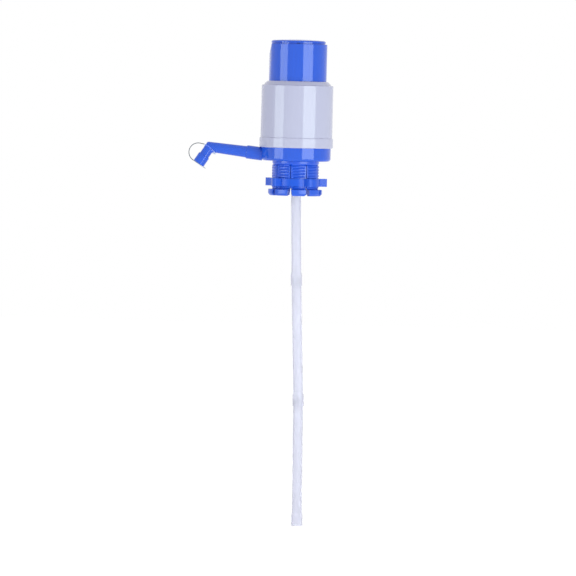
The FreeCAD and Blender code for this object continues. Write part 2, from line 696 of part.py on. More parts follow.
def make_strap_ring(arm, nozzle):
    """A soft oval ring stretched round the elbow, from the nozzle's outer side to under the arm."""
    centre = ring_centre()
    long_way = along(SIZES["ring_lean"])
    tilt = FreeCAD.Rotation(long_way, SIZES["ring_tilt"])
    oval = Part.Ellipse(centre + long_way * SIZES["ring_long"],
                        centre + tilt.multVec(Vector(0, 1, 0)) * SIZES["ring_short"], centre)
    path = Part.Wire([oval.toShape()])
    start = oval.value(0)
    section = Part.Wire([Part.Circle(start, oval.tangent(0)[0], SIZES["ring_wire"]).toShape()])
    ring = doc.addObject("Part::Feature", "ring_whole")
    ring.Shape = path.makePipeShell([section], True, True)
    return keep(cut("ring_cut", ring, [arm, nozzle]), "strap_ring")


def bearing_way(angle):
    """Unit vector in the XZ plane, at that many radians from +X towards +Z."""
    return Vector(math.cos(angle), 0, math.sin(angle))


def make_cap_strap():
    """The strap: most of a circle from the dust cap's rim, then a straight run to the ring."""
    loop = SIZES["strap_loop"]
    first = math.radians(SIZES["strap_start"])
    rim = MOUTH - ACROSS * (SIZES["cap_disc"] + SIZES["strap_gap"])
    start = rim + NOZZLE_WAY * (SIZES["cap_disc_thick"] / 2)
    middle = start - bearing_way(first) * loop
    ring_top = SIZES["ring_long"] + SIZES["ring_wire"] - SIZES["strap_bite"]
    end = ring_centre() + along(SIZES["ring_lean"]) * ring_top
    # the straight run leaves the circle along the tangent that reaches the ring
    reach = end - middle
    leave = math.atan2(reach.z, reach.x) + math.acos(loop / reach.Length)
    on_circle = [middle + bearing_way(angle) * loop for angle in (first, (first + leave) / 2, leave)]
    path = Part.Wire([Part.Arc(*on_circle).toShape(), Part.LineSegment(on_circle[2], end).toShape()])
    along_circle = bearing_way(first - math.pi / 2)
    section = Part.Wire([Part.Circle(on_circle[0], along_circle, SIZES["strap_wire"]).toShape()])
    strap = doc.addObject("Part::Feature", "cap_strap")
    strap.Shape = path.makePipeShell([section], True, True)
    return keep(strap, "cap_strap")


def make_mouth_cap():
    inner = MOUTH - NOZZLE_WAY * SIZES["cap_plug_length"]
    disc = cylinder("cap_disc_plate", size("cap_disc"), size("cap_disc_thick"),
                    MOUTH.x, MOUTH.y, MOUTH.z, NOZZLE_WAY)
    plug = cylinder("cap_plug_body", size("cap_plug"), size("cap_plug_length") + CLEAR,
                    inner.x, inner.y, inner.z, NOZZLE_WAY)
    hollow = cylinder("cap_plug_hollow", size("cap_plug") - size("cap_plug_wall"),
                      size("cap_plug_length") - CLEAR, inner.x, inner.y, inner.z, NOZZLE_WAY)
    turn = FreeCAD.Rotation(ACROSS, Vector(0, 1, 0), NOZZLE_WAY)
    root = SIZES["cap_disc"] - SIZES["tab_root"]
    corner = MOUTH + turn.multVec(Vector(root, -SIZES["tab_width"] / 2, 0))
    tab = block("pull_tab", size("tab_reach") - root, size("tab_width"), size("cap_disc_thick"), corner, turn)
    return keep(cut("mouth_cap_cut", fuse("mouth_cap_solid", [disc, plug, tab]), [hollow]), "mouth_cap")


def make_tube(label, top, lean):
    """One push-fit length with a flared socket at its lower end. Returns its lower end's point."""
    body = new_body(label)
    length = size("tube_length")
    socket_top = -(length - size("socket_depth"))
    revolve(body, [
        (size("tube_bore"), 0), (size("tube_bore"), socket_top), (size("socket_bore"), socket_top),
        (size("socket_bore"), -length), (size("socket_edge"), -length), (size("socket_edge"), socket_top),
        (size("tube_edge"), socket_top + size("socket_cone")), (size("tube_edge"), 0)])
    down = Vector(math.sin(math.radians(lean)), 0, -math.cos(math.radians(lean)))
    body.Placement = FreeCAD.Placement(top, FreeCAD.Rotation(Vector(0, 0, 1), -down))
    keep(body, label)
    return top + down * SIZES["tube_length"], down


def make_dip_tube():
    top = Vector(0, 0, SIZES["tube_stop"])
    for label, lean in (("dip_tube_upper", SIZES["lean_upper"]), ("dip_tube_middle", SIZES["lean_middle"]),
                        ("dip_tube_lower", SIZES["lean_lower"])):
        end, down = make_tube(label, top, lean)
        top = end - down * SIZES["tube_overlap"]
    print("dip tube ends at %.1f %.1f %.1f" % tuple(end))


make_neck_collar()
make_clamp_nut()
make_neck_gasket()
make_base()
make_valve_plate()
make_cage("outlet_valve_cage", size("plate_seat"), size("valve_offset"))
make_disc("outlet_valve_disc", size("plate_seat"), size("valve_offset"))
make_pump_barrel()
make_press_cap()
make_cap_lid()
make_cage("inlet_valve_cage", size("deck_low"), 0)
make_disc("inlet_valve_disc", size("deck_low"), 0)
make_bellows()
bellows_foot = size("plate_seat") + size("plate_thick") + size("flange_sheet")
make_ring("bellows_clamp_ring", size("clamp_bore"), size("spigot_bore"), bellows_foot,
          bellows_foot + size("clamp_height"))
bellows_head = size("deck_low") - size("flange_sheet")
make_ring("bellows_top_ring", size("top_ring_bore"), size("cap_thick_bore"),
          bellows_head - size("top_ring_height"), bellows_head)
make_return_spring()
spout_arm = make_spout_arm()
make_spout_seal()
spout_nozzle = make_spout_nozzle()
make_strap_ring(spout_arm, spout_nozzle)
make_cap_strap()
make_mouth_cap()
make_dip_tube()

doc.recompute()
for thing in doc.Objects:
    if "Invalid" in thing.State or "Error" in thing.State:
        raise SystemExit("%s failed: %s" % (thing.Label, thing.State))
os.makedirs("parts", exist_ok=True)
for thing in SUB_PARTS:
    shape = thing.Shape
    if shape.isNull() or not shape.isValid() or not shape.Solids:
        raise SystemExit("%s has no valid solid" % thing.Label)
    shape.exportStep("parts/%s.step" % thing.Label)
    box = shape.BoundBox
    print("%-20s solids %d  volume %9.1f  x %7.1f..%6.1f  z %7.1f..%6.1f" % (
        thing.Label, len(shape.Solids), shape.Volume, box.XMin, box.XMax, box.ZMin, box.ZMax))
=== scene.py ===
import json
import math

import bmesh
import bpy
from mathutils import Matrix, Vector


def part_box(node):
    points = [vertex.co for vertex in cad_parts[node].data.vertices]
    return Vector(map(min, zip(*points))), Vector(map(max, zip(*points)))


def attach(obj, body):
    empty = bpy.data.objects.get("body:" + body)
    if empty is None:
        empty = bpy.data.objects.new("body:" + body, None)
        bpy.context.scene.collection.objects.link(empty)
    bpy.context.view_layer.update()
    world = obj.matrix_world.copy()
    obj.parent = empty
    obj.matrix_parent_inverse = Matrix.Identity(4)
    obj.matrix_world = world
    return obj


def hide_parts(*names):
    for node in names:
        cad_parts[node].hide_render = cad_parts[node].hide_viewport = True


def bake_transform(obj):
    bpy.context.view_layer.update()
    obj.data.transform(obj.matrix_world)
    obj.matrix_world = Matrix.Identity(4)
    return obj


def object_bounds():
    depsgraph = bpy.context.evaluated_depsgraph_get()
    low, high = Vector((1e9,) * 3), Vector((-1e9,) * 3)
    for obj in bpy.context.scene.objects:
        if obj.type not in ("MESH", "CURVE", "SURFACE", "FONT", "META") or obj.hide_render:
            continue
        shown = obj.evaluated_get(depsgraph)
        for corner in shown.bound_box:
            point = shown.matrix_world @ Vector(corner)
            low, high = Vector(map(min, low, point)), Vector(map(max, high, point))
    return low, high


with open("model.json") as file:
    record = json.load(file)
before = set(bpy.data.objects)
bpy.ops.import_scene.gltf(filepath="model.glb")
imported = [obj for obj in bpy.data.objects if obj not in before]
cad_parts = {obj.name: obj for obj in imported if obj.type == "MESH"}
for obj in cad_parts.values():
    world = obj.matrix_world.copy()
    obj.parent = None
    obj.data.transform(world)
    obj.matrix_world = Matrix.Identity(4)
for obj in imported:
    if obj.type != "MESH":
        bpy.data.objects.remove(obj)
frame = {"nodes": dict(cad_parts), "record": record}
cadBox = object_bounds()
mm = 0.001
print("frame loaded:", len(frame["nodes"]), "nodes")

# camera: far off with a long lens, tipped a little down and turned a little about its own axis
camera = {"away": 7.0, "height": 0.10, "side": -0.00623, "tip": 2.184, "turn": 1.4, "lens": 326.4,
          "sensor": 36.0}


def addCamera():
    data = bpy.data.cameras.new("camera")
    data.lens = camera["lens"]
    data.sensor_width = camera["sensor"]
    tip, turn = math.radians(camera["tip"]), math.radians(camera["turn"])
    ahead = Vector((0, math.cos(tip), -math.sin(tip)))
    right = Vector((1, 0, 0))
    up = right.cross(ahead)
    acrossFrame = right * math.cos(turn) + up * math.sin(turn)
    upFrame = up * math.cos(turn) - right * math.sin(turn)
    axes = Matrix((acrossFrame, upFrame, -ahead)).transposed().to_4x4()
    ob = bpy.data.objects.new("camera", data)
    ob.matrix_world = Matrix.Translation((camera["side"], -camera["away"], camera["height"])) @ axes
    bpy.context.scene.collection.objects.link(ob)
    bpy.context.scene.camera = ob


addCamera()
print("camera placed")

# two tall soft boxes and a pale room; bearings are degrees right of the camera's own side
lights = {
    "leftBox": {"bearing": -58.5, "away": 1.25, "wide": 0.72, "tall": 0.80, "middle": -0.07, "radiance": 3.4},
    "rightBox": {"bearing": 40.0, "away": 1.0, "wide": 0.74, "tall": 0.745, "middle": -0.10, "radiance": 4.1},
}
boxColour = (0.88, 1.0, 0.99)
room = {"fill": (0.24, 0.25, 0.27), "ceiling": (1.15, 1.20, 1.30), "seen": (1.0, 1.0, 1.0)}
ceilingEdge = (0.6, 0.9)     # how far up the soft light turns from fill to ceiling, 1 being straight up


def addSoftBoxes():
    for name, box in lights.items():
        data = bpy.data.lights.new(name, "AREA")
        data.shape = "RECTANGLE"
        data.size = box["wide"]
        data.size_y = box["tall"]
        data.color = boxColour
        data.energy = box["radiance"] * math.pi * box["wide"] * box["tall"]
        bearing = math.radians(box["bearing"])
        place = Vector((math.sin(bearing) * box["away"], -math.cos(bearing) * box["away"], box["middle"]))
        ob = bpy.data.objects.new(name, data)
        ob.location = place
        ob.rotation_euler = Vector((-place.x, -place.y, 0)).to_track_quat("-Z", "Y").to_euler()
        ob.visible_camera = False
        bpy.context.scene.collection.objects.link(ob)


def seenDirectly(nodes, links):
    # 1 for what the camera, clear plastic and polished faces see, 0 for soft light
    path = nodes.new("ShaderNodeLightPath")
    seen = path.outputs["Is Camera Ray"]
    for ray in ("Is Transmission Ray", "Is Glossy Ray"):
        either = nodes.new("ShaderNodeMath")
        either.operation = "MAXIMUM"
        links.new(seen, either.inputs[0])
        links.new(path.outputs[ray], either.inputs[1])
        seen = either.outputs[0]
    return seen


def addRoom():
    world = bpy.data.worlds.new("room")
    bpy.context.scene.world = world
    world.use_nodes = True
    nodes, links = world.node_tree.nodes, world.node_tree.links
    nodes.clear()
    shade = {}
    for name, colour in room.items():
        shade[name] = nodes.new("ShaderNodeBackground")
        shade[name].inputs["Color"].default_value = (*colour, 1)
    # soft light comes from a pale ceiling too
    where = nodes.new("ShaderNodeTexCoord")
    split = nodes.new("ShaderNodeSeparateXYZ")
    links.new(where.outputs["Generated"], split.inputs[0])
    height = nodes.new("ShaderNodeMapRange")
    height.inputs["From Min"].default_value = ceilingEdge[0]
    height.inputs["From Max"].default_value = ceilingEdge[1]
    links.new(split.outputs["Z"], height.inputs["Value"])

    def mixed(factor, first, second):
        mix = nodes.new("ShaderNodeMixShader")
        links.new(factor, mix.inputs["Fac"])
        links.new(first.outputs[0], mix.inputs[1])
        links.new(second.outputs[0], mix.inputs[2])
        return mix
    soft = mixed(height.outputs["Result"], shade["fill"], shade["ceiling"])
    backdrop = mixed(seenDirectly(nodes, links), soft, shade["seen"])
    out = nodes.new("ShaderNodeOutputWorld")
    links.new(backdrop.outputs[0], out.inputs["Surface"])


addSoftBoxes()
addRoom()
bpy.context.scene.view_settings.view_transform = "Standard"
print("lights placed")


def newMaterial(name):
    material = bpy.data.materials.new(name)
    material.use_nodes = True
    nodes = material.node_tree.nodes
    return material, nodes, material.node_tree.links, nodes["Principled BSDF"]


def noise(nodes, links, scale, stretch=(1, 1, 1), detail=3.0):
    place = nodes.new("ShaderNodeTexCoord")
    mapping = nodes.new("ShaderNodeMapping")
    mapping.inputs["Scale"].default_value = stretch
    links.new(place.outputs["Object"], mapping.inputs["Vector"])
    texture = nodes.new("ShaderNodeTexNoise")
    texture.inputs["Scale"].default_value = scale
    texture.inputs["Detail"].default_value = detail
    links.new(mapping.outputs["Vector"], texture.inputs["Vector"])
    return texture.outputs["Fac"]


def between(nodes, links, factor, low, high):
    spread = nodes.new("ShaderNodeMapRange")
    spread.inputs["From Min"].default_value = 0.3
    spread.inputs["From Max"].default_value = 0.7
    spread.inputs["To Min"].default_value = low
    spread.inputs["To Max"].default_value = high
    links.new(factor, spread.inputs["Value"])
    return spread.outputs["Result"]


def twoTone(nodes, links, factor, first, second):
    mix = nodes.new("ShaderNodeMix")
    mix.data_type = "RGBA"
    mix.inputs["A"].default_value = (*first, 1)
    mix.inputs["B"].default_value = (*second, 1)
    links.new(factor, mix.inputs["Factor"])
    return mix.outputs["Result"]


def bumps(nodes, links, height, depth, below=None):
    bump = nodes.new("ShaderNodeBump")
    bump.inputs["Strength"].default_value = 1.0
    bump.inputs["Distance"].default_value = depth * mm
    links.new(height, bump.inputs["Height"])
    if below is not None:
        links.new(below, bump.inputs["Normal"])
    return bump.outputs["Normal"]


# moulded plastics: cloud is the soft change of colour, ripple the faint waviness of a polished face,
# grain the fine texture, both as depth in millimetres
finishes = {
    "blue_gloss": {"colour": (0.0135, 0.101, 0.660), "second": (0.0108, 0.089, 0.611), "rough": (0.05, 0.09),
                   "ripple": 0.012, "grain": 0.0008},
    "blue_satin": {"colour": (0.0135, 0.101, 0.660), "second": (0.0108, 0.089, 0.611), "rough": (0.17, 0.25),
                   "ripple": 0.012, "grain": 0.0008},
    "blue_worn": {"colour": (0.0135, 0.101, 0.660), "second": (0.0108, 0.089, 0.611), "rough": (0.20, 0.28),
                  "ripple": 0.012, "grain": 0.0008, "bend": 1.36},
    "white_gloss": {"colour": (0.521, 0.501, 0.643), "second": (0.497, 0.479, 0.628), "rough": (0.06, 0.10),
                    "ripple": 0.012, "grain": 0.0008},
    "bellows_white": {"colour": (0.78, 0.79, 0.82), "second": (0.70, 0.71, 0.76), "rough": (0.32, 0.45),
                      "ripple": 0.05, "grain": 0.004},
    "inner_white": {"colour": (0.74, 0.75, 0.78), "second": (0.68, 0.69, 0.73), "rough": (0.28, 0.40),
                    "ripple": 0.01, "grain": 0.006},
    "rubber_soft": {"colour": (0.62, 0.63, 0.65), "second": (0.55, 0.56, 0.59), "rough": (0.50, 0.65),
                    "ripple": 0.02, "grain": 0.010},
}


plasticTexture = {"cloud": 22, "wipe": 90, "ripple": 60, "grain": 2200, "bend": 1.5}


def plastic(name):
    finish = finishes[name]
    material, nodes, links, shader = newMaterial(name)
    cloud = noise(nodes, links, plasticTexture["cloud"], detail=2)
    links.new(twoTone(nodes, links, cloud, finish["colour"], finish["second"]), shader.inputs["Base Color"])
    wipe = noise(nodes, links, plasticTexture["wipe"], stretch=(1, 1, 0.25), detail=4)
    links.new(between(nodes, links, wipe, *finish["rough"]), shader.inputs["Roughness"])
    wave = noise(nodes, links, plasticTexture["ripple"], detail=1)
    ripple = bumps(nodes, links, wave, finish["ripple"])
    speck = noise(nodes, links, plasticTexture["grain"], detail=2)
    grain = bumps(nodes, links, speck, finish["grain"], ripple)
    links.new(grain, shader.inputs["Normal"])
    shader.inputs["IOR"].default_value = finish.get("bend", plasticTexture["bend"])
    return material


tube = {"colour": (0.910, 0.890, 0.963), "second": (0.890, 0.875, 0.963), "rough": (0.10, 0.20),
        "through": 0.62, "bend": 1.25, "cloud": 30, "drawn": 500, "lines": 0.004}


def tubePlastic():
    material, nodes, links, shader = newMaterial("tube_clear")
    cloud = noise(nodes, links, tube["cloud"], stretch=(1, 1, 0.2), detail=3)
    links.new(twoTone(nodes, links, cloud, tube["colour"], tube["second"]), shader.inputs["Base Color"])
    drawn = noise(nodes, links, tube["drawn"], stretch=(1, 1, 0.03), detail=2)     # draw lines along it
    links.new(between(nodes, links, drawn, *tube["rough"]), shader.inputs["Roughness"])
    links.new(bumps(nodes, links, drawn, tube["lines"]), shader.inputs["Normal"])
    shader.inputs["Transmission Weight"].default_value = tube["through"]
    shader.inputs["IOR"].default_value = tube["bend"]
    return material


clears = {
    "strap_clear": {"colour": (0.22, 0.24, 0.26), "second": (0.18, 0.20, 0.22), "rough": (0.20, 0.30),
                    "through": 0.45, "bend": 1.3},
    "ring_clear": {"colour": (0.80, 0.88, 1.0), "second": (0.75, 0.84, 0.98), "rough": (0.35, 0.45),
                   "through": 0.85, "bend": 1.08},
    "cap_clear": {"colour": (0.62, 0.67, 0.76), "second": (0.56, 0.61, 0.70), "rough": (0.22, 0.32),
                  "through": 0.55, "bend": 1.3},
}
clearTexture = {"cloud": 120, "grain": 900, "depth": 0.006}


def clearPlastic(name):
    finish = clears[name]
    material, nodes, links, shader = newMaterial(name)
    cloud = noise(nodes, links, clearTexture["cloud"], detail=2)
    links.new(twoTone(nodes, links, cloud, finish["colour"], finish["second"]), shader.inputs["Base Color"])
    links.new(between(nodes, links, cloud, *finish["rough"]), shader.inputs["Roughness"])
    grain = noise(nodes, links, clearTexture["grain"], detail=2)
    links.new(bumps(nodes, links, grain, clearTexture["depth"]), shader.inputs["Normal"])
    shader.inputs["Transmission Weight"].default_value = finish["through"]
    shader.inputs["IOR"].default_value = finish["bend"]
    return material


steel = {"colour": (0.62, 0.62, 0.63), "second": (0.48, 0.48, 0.50), "rough": (0.22, 0.38), "drawn": 700,
         "lines": 0.01}


def springSteel():
    material, nodes, links, shader = newMaterial("spring_steel")
    drawn = noise(nodes, links, steel["drawn"], stretch=(0.2, 0.2, 1), detail=4)
    links.new(twoTone(nodes, links, drawn, steel["colour"], steel["second"]), shader.inputs["Base Color"])
    links.new(between(nodes, links, drawn, *steel["rough"]), shader.inputs["Roughness"])
    links.new(bumps(nodes, links, drawn, steel["lines"]), shader.inputs["Normal"])
    shader.inputs["Metallic"].default_value = 1.0
    return material


materials = {name: plastic(name) for name in finishes}
materials["tube_clear"] = tubePlastic()
materials.update((name, clearPlastic(name)) for name in clears)
materials["spring_steel"] = springSteel()
slotOf = {part["node"]: part["material_slot"] for part in frame["record"]["subparts"]}
for node, ob in frame["nodes"].items():
    ob.material_slots[0].material = materials[slotOf[node]]
print("materials made:", len(materials))

# shared ways of making a piece: outlines are lists of (radius, height) or (radius, height, rounding)
def reach(node):
    low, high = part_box(node)
    return low / mm, high / mm


def wire(bm, corners):
    verts = [bm.verts.new((corner[0] * mm, 0, corner[1] * mm)) for corner in corners]
    for first, second in zip(verts, verts[1:]):
        bm.edges.new((first, second))
    if corners[0][0] > 0:
        bm.edges.new((verts[-1], verts[0]))
    for vert, corner in zip(verts, corners):
        if len(corner) > 2:
            bmesh.ops.bevel(bm, geom=[vert], offset=corner[2] * mm, offset_type="OFFSET", segments=4,
                            profile=0.5, affect="VERTICES", material=-1)


def lathe(corners, steps=128, turn=0.0):
    bm = bmesh.new()
    wire(bm, corners)
    bmesh.ops.rotate(bm, verts=bm.verts, cent=(0, 0, 0), matrix=Matrix.Rotation(math.radians(turn), 3, "Z"))
    bmesh.ops.spin(bm, geom=bm.verts[:] + bm.edges[:], cent=(0, 0, 0), axis=(0, 0, 1), dvec=(0, 0, 0),
                   angle=math.tau, steps=steps, use_merge=True)
    tidy(bm)
    return bm


def tidy(bm):
    bmesh.ops.remove_doubles(bm, verts=bm.verts, dist=0.0005 * mm)
    bmesh.ops.recalc_face_normals(bm, faces=bm.faces)


def stand(bm, foot, towards):
    # lays what was made along Z along another direction, with its origin at foot
    turn = Vector((0, 0, 1)).rotation_difference(Vector(towards)).to_matrix()
    bmesh.ops.rotate(bm, verts=bm.verts, cent=(0, 0, 0), matrix=turn)
    bmesh.ops.translate(bm, verts=bm.verts, vec=Vector(foot) * mm)


def objectOf(name, bm):
    mesh = bpy.data.meshes.new(name)
    bm.to_mesh(mesh)
    bm.free()
    ob = bpy.data.objects.new(name, mesh)
    bpy.context.scene.collection.objects.link(ob)
    return ob


def joined(bm, tool, operation):
    # what an exact boolean of the two makes, as a new bmesh
    first = objectOf("first", bm)
    second = objectOf("second", tool)
    boolean = first.modifiers.new("boolean", "BOOLEAN")
    boolean.operation = operation
    boolean.solver = "EXACT"
    boolean.object = second
    made = bmesh.new()
    made.from_object(first, bpy.context.evaluated_depsgraph_get())
    for ob in (first, second):
        bpy.data.objects.remove(ob)
    return made


def soften(ob, angle):
    mesh = ob.data
    bm = bmesh.new()
    bm.from_mesh(mesh)
    tidy(bm)
    for face in bm.faces:
        face.smooth = True
    for edge in bm.edges:
        edge.smooth = edge.calc_face_angle(0.0) < math.radians(angle)
    bm.to_mesh(mesh)
    bm.free()


def piece(name, bm, slot, body=None, replaces=(), angle=32, weighted=True, look=None):
    ob = objectOf(name, bm)
    soften(ob, angle)
    ob.data.materials.append(materials[look or slot])
    if weighted:
        weigh = ob.modifiers.new("weighted", "WEIGHTED_NORMAL")
        weigh.keep_sharp = True
    if body:
        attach(ob, body)
    if replaces:
        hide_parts(*replaces)
    return ob


# barrel: a plain white sleeve with a skirt over the base and a domed mouth that the cap slides through
barrel = {"edge": 48.2, "neck": 48.0, "bore": 45.8, "skirt": 49.4, "skirtBore": 46.7, "skirtTop": 34.6,
          "seat": 33.2, "groove": 47.15, "grooveHeight": 27.6, "grooveHalf": 0.6, "grooveSlope": 1.5,
          "rim": 104.9, "foot": 45.6, "waist": 43.2, "knee": 108.0, "mouth": 40.4, "opening": 39.2,
          "roofHigh": 107.6, "roofWaist": 43.6, "roofKnee": 105.8, "roofLow": 103.9, "hemSoft": 1.3}


def addBarrel():
    low, high = reach("pump_barrel")
    groove, slope, half = barrel["grooveHeight"], barrel["grooveSlope"], barrel["grooveHalf"]
    corners = [(barrel["skirtBore"], low.z, 0.3), (barrel["skirt"], low.z, barrel["hemSoft"]),
               (barrel["skirt"], barrel["skirtTop"], 0.8), (barrel["edge"], barrel["skirtTop"], 0.3),
               (barrel["neck"], barrel["rim"], 0.8), (barrel["foot"], barrel["rim"], 0.5),
               (barrel["waist"], barrel["knee"], 1.4), (barrel["mouth"], high.z, 0.5),
               (barrel["opening"], high.z, 0.4), (barrel["opening"], barrel["roofHigh"]),
               (barrel["roofWaist"], barrel["roofKnee"]), (barrel["bore"], barrel["roofLow"]),
               (barrel["bore"], barrel["seat"]), (barrel["skirtBore"], barrel["seat"]),
               (barrel["skirtBore"], groove + slope), (barrel["groove"], groove + half),
               (barrel["groove"], groove - half), (barrel["skirtBore"], groove - slope)]
    return piece("barrelSleeve", lathe(corners, steps=160), "white_gloss", "pump", ["pump_barrel"])


# press cap: a plain blue can with a guide ring at its foot, a finger flat on the spout's side and
# air ports under its lid
press = {"edge": 38.7, "bore": 36.3, "shoulder": 160.1, "soft": 0.5, "deck": 157.6, "guideEdge": 45.4,
         "guideBore": 43.2, "guideTop": 103.5, "guideThick": 2.2, "thickBore": 33.8, "thickLow": 145.0,
         "step": 3.0, "flatLow": 146.0, "flatDepth": 2.8, "flatPast": 4.0, "seatEdge": 36.0, "seatBore": 34.0,
         "ports": 6, "portRing": 5.4, "portEdge": 1.6, "portDepth": 8, "notches": 4, "notch": 4.0,
         "notchFloor": 0.3, "notchTool": 2}


def addPressCap():
    low, high = reach("press_cap")
    roof = press["guideTop"] - press["guideThick"]
    shoulder, deck = press["shoulder"], press["deck"]
    corners = [(0, shoulder), (press["seatBore"], shoulder), (press["seatBore"], high.z),
               (press["seatEdge"], high.z), (press["seatEdge"], shoulder),
               (press["edge"], shoulder, press["soft"]), (press["edge"], press["guideTop"], 0.4),
               (press["guideEdge"], press["guideTop"], 0.3), (press["guideEdge"], low.z, 0.3),
               (press["guideBore"], low.z), (press["guideBore"], roof), (press["bore"], roof),
               (press["bore"], press["thickLow"] - press["step"]), (press["thickBore"], press["thickLow"]),
               (press["thickBore"], deck), (0, deck)]
    bm = lathe(corners, steps=160)
    flat = bmesh.new()
    bmesh.ops.create_cube(flat, size=1.0)
    wide = press["flatPast"] + press["flatDepth"]
    tall = shoulder - press["flatLow"]
    bmesh.ops.scale(flat, verts=flat.verts, vec=(wide * mm, press["edge"] * 2 * mm, tall * mm))
    foot = [vert for vert in flat.verts if vert.co.x > 0 and vert.co.z < 0]
    bmesh.ops.translate(flat, verts=foot, vec=(-press["flatDepth"] * mm, 0, 0))
    bmesh.ops.translate(flat, verts=flat.verts, vec=((press["flatDepth"] - press["edge"] - wide / 2) * mm, 0,
                                                     (shoulder - tall / 2) * mm))
    bm = joined(bm, flat, "DIFFERENCE")
    drill = bmesh.new()
    for port in range(press["ports"]):
        made = bmesh.ops.create_cone(drill, cap_ends=True, segments=24, radius1=press["portEdge"] * mm,
                                     radius2=press["portEdge"] * mm,
                                     depth=press["portDepth"] * mm)["verts"]
        turn = math.tau / press["ports"] * port
        spot = Vector((math.cos(turn) * press["portRing"], math.sin(turn) * press["portRing"], shoulder))
        bmesh.ops.translate(drill, verts=made, vec=spot * mm)
    bm = joined(bm, drill, "DIFFERENCE")
    cutter = bmesh.new()
    floorHeight = shoulder + press["notchFloor"]
    for notch in range(press["notches"]):
        made = bmesh.ops.create_cube(cutter, size=1.0)["verts"]
        across = press["seatEdge"] - press["seatBore"] + 1
        bmesh.ops.scale(cutter, verts=made, vec=(across * mm, press["notch"] * mm, press["notchTool"] * mm))
        middle = (press["seatEdge"] + press["seatBore"]) / 2
        bmesh.ops.translate(cutter, verts=made,
                            vec=(middle * mm, 0, (floorHeight + press["notchTool"] / 2) * mm))
        turn = Matrix.Rotation(math.tau / press["notches"] * notch, 3, "Z")
        bmesh.ops.rotate(cutter, verts=made, cent=(0, 0, 0), matrix=turn)
    bm = joined(bm, cutter, "DIFFERENCE")
    return piece("pressCap", bm, "blue_gloss", "plunger", ["press_cap"])


lid = {"edge": 36.4, "rim": 163.6, "wall": 1.8, "bevel": 1.2, "bevelHeight": 1.1, "plug": 33.9,
       "plugHeight": 1.1, "rings": 10, "soft": 0.45}


def addLid():
    low, high = reach("cap_lid")
    seat = low.z + lid["plugHeight"]
    crown = lid["edge"] - lid["bevel"]
    rise = high.z - lid["rim"] - lid["bevelHeight"]
    steps = [step / lid["rings"] for step in range(lid["rings"])]
    dome = [(crown * share, high.z - rise * share ** 2) for share in steps]
    inner = lid["plug"] - lid["wall"]
    corners = dome + [(crown, high.z - rise, 0.8), (lid["edge"], lid["rim"], lid["soft"]),
                      (lid["edge"], seat, 0.2), (lid["plug"], seat), (lid["plug"], low.z, 0.3),
                      (inner, low.z, 0.3), (inner, seat), (0, high.z - lid["wall"])]
    return piece("capLid", lathe(corners, steps=160), "blue_gloss", "plunger", ["cap_lid"])


# neck collar: fingers with a flat-topped thread of four starts that stops short of each slot
collar = {"bore": 28.2, "leadIn": 1.0, "leadInHeight": 1.6, "root": 30.4, "crest": 31.4, "pitch": 3.95,
          "rows": 12, "starts": 4, "threadTop": -1.0, "crestShare": 0.35, "rootShare": 0.95, "margin": 2.4,
          "marginSoft": 0.8, "lip": 36.25, "lipHeight": 8.4, "taper": 2.2, "taperHeight": 2.6, "blend": 1.2,
          "flange": 31.3, "flangeLow": 0.6, "flangeTop": 3.5, "tongueInner": 28.6, "tongueOuter": 29.9,
          "fingers": 9, "turn": -102, "slot": 1.0, "slotTop": -0.7, "gap": 4.2, "gapFoot": 7.2,
          "gapAbove": 1.6, "steps": 360, "toolLong": 20, "toolMiddle": 33, "fade": 2}


def slotTool(width, footWidth, top, low):
    bm = bmesh.new()
    for finger in range(collar["fingers"]):
        made = bmesh.ops.create_cube(bm, size=1.0)["verts"]
        bmesh.ops.scale(bm, verts=made, vec=(collar["toolLong"] * mm, width * mm, (top - low) * mm))
        foot = [vert for vert in made if vert.co.z < 0]
        bmesh.ops.scale(bm, verts=foot, vec=(1, footWidth / width, 1))
        bmesh.ops.translate(bm, verts=made, vec=(collar["toolMiddle"] * mm, 0, (top + low) / 2 * mm))
        turn = Matrix.Rotation(math.radians(collar["turn"] + 360 / collar["fingers"] * finger), 3, "Z")
        bmesh.ops.rotate(bm, verts=made, cent=(0, 0, 0), matrix=turn)
    return bm


def ease(value, low, high):
    share = min(1, max(0, (value - low) / (high - low)))
    return share * share * (3 - 2 * share)


def threadLift(bearing, height, threadLow):
    # how far the thread stands over its root there; beside a slot it is a plain band as high as the crest
    phase = height / collar["pitch"] - collar["starts"] * bearing / math.tau
    lift = 1 - ease(abs(phase - round(phase)) * 2, collar["crestShare"], collar["rootShare"])
    spacing = math.tau / collar["fingers"]
    slots = (bearing - math.radians(collar["turn"])) / spacing
    fromSlot = abs(slots - round(slots)) * spacing * collar["root"]
    lift += (1 - lift) * (1 - ease(fromSlot, collar["margin"], collar["margin"] + collar["marginSoft"]))
    fade = min(1, (collar["threadTop"] - height) / collar["fade"], (height - threadLow) / collar["fade"])
    return lift * fade * (collar["crest"] - collar["root"])


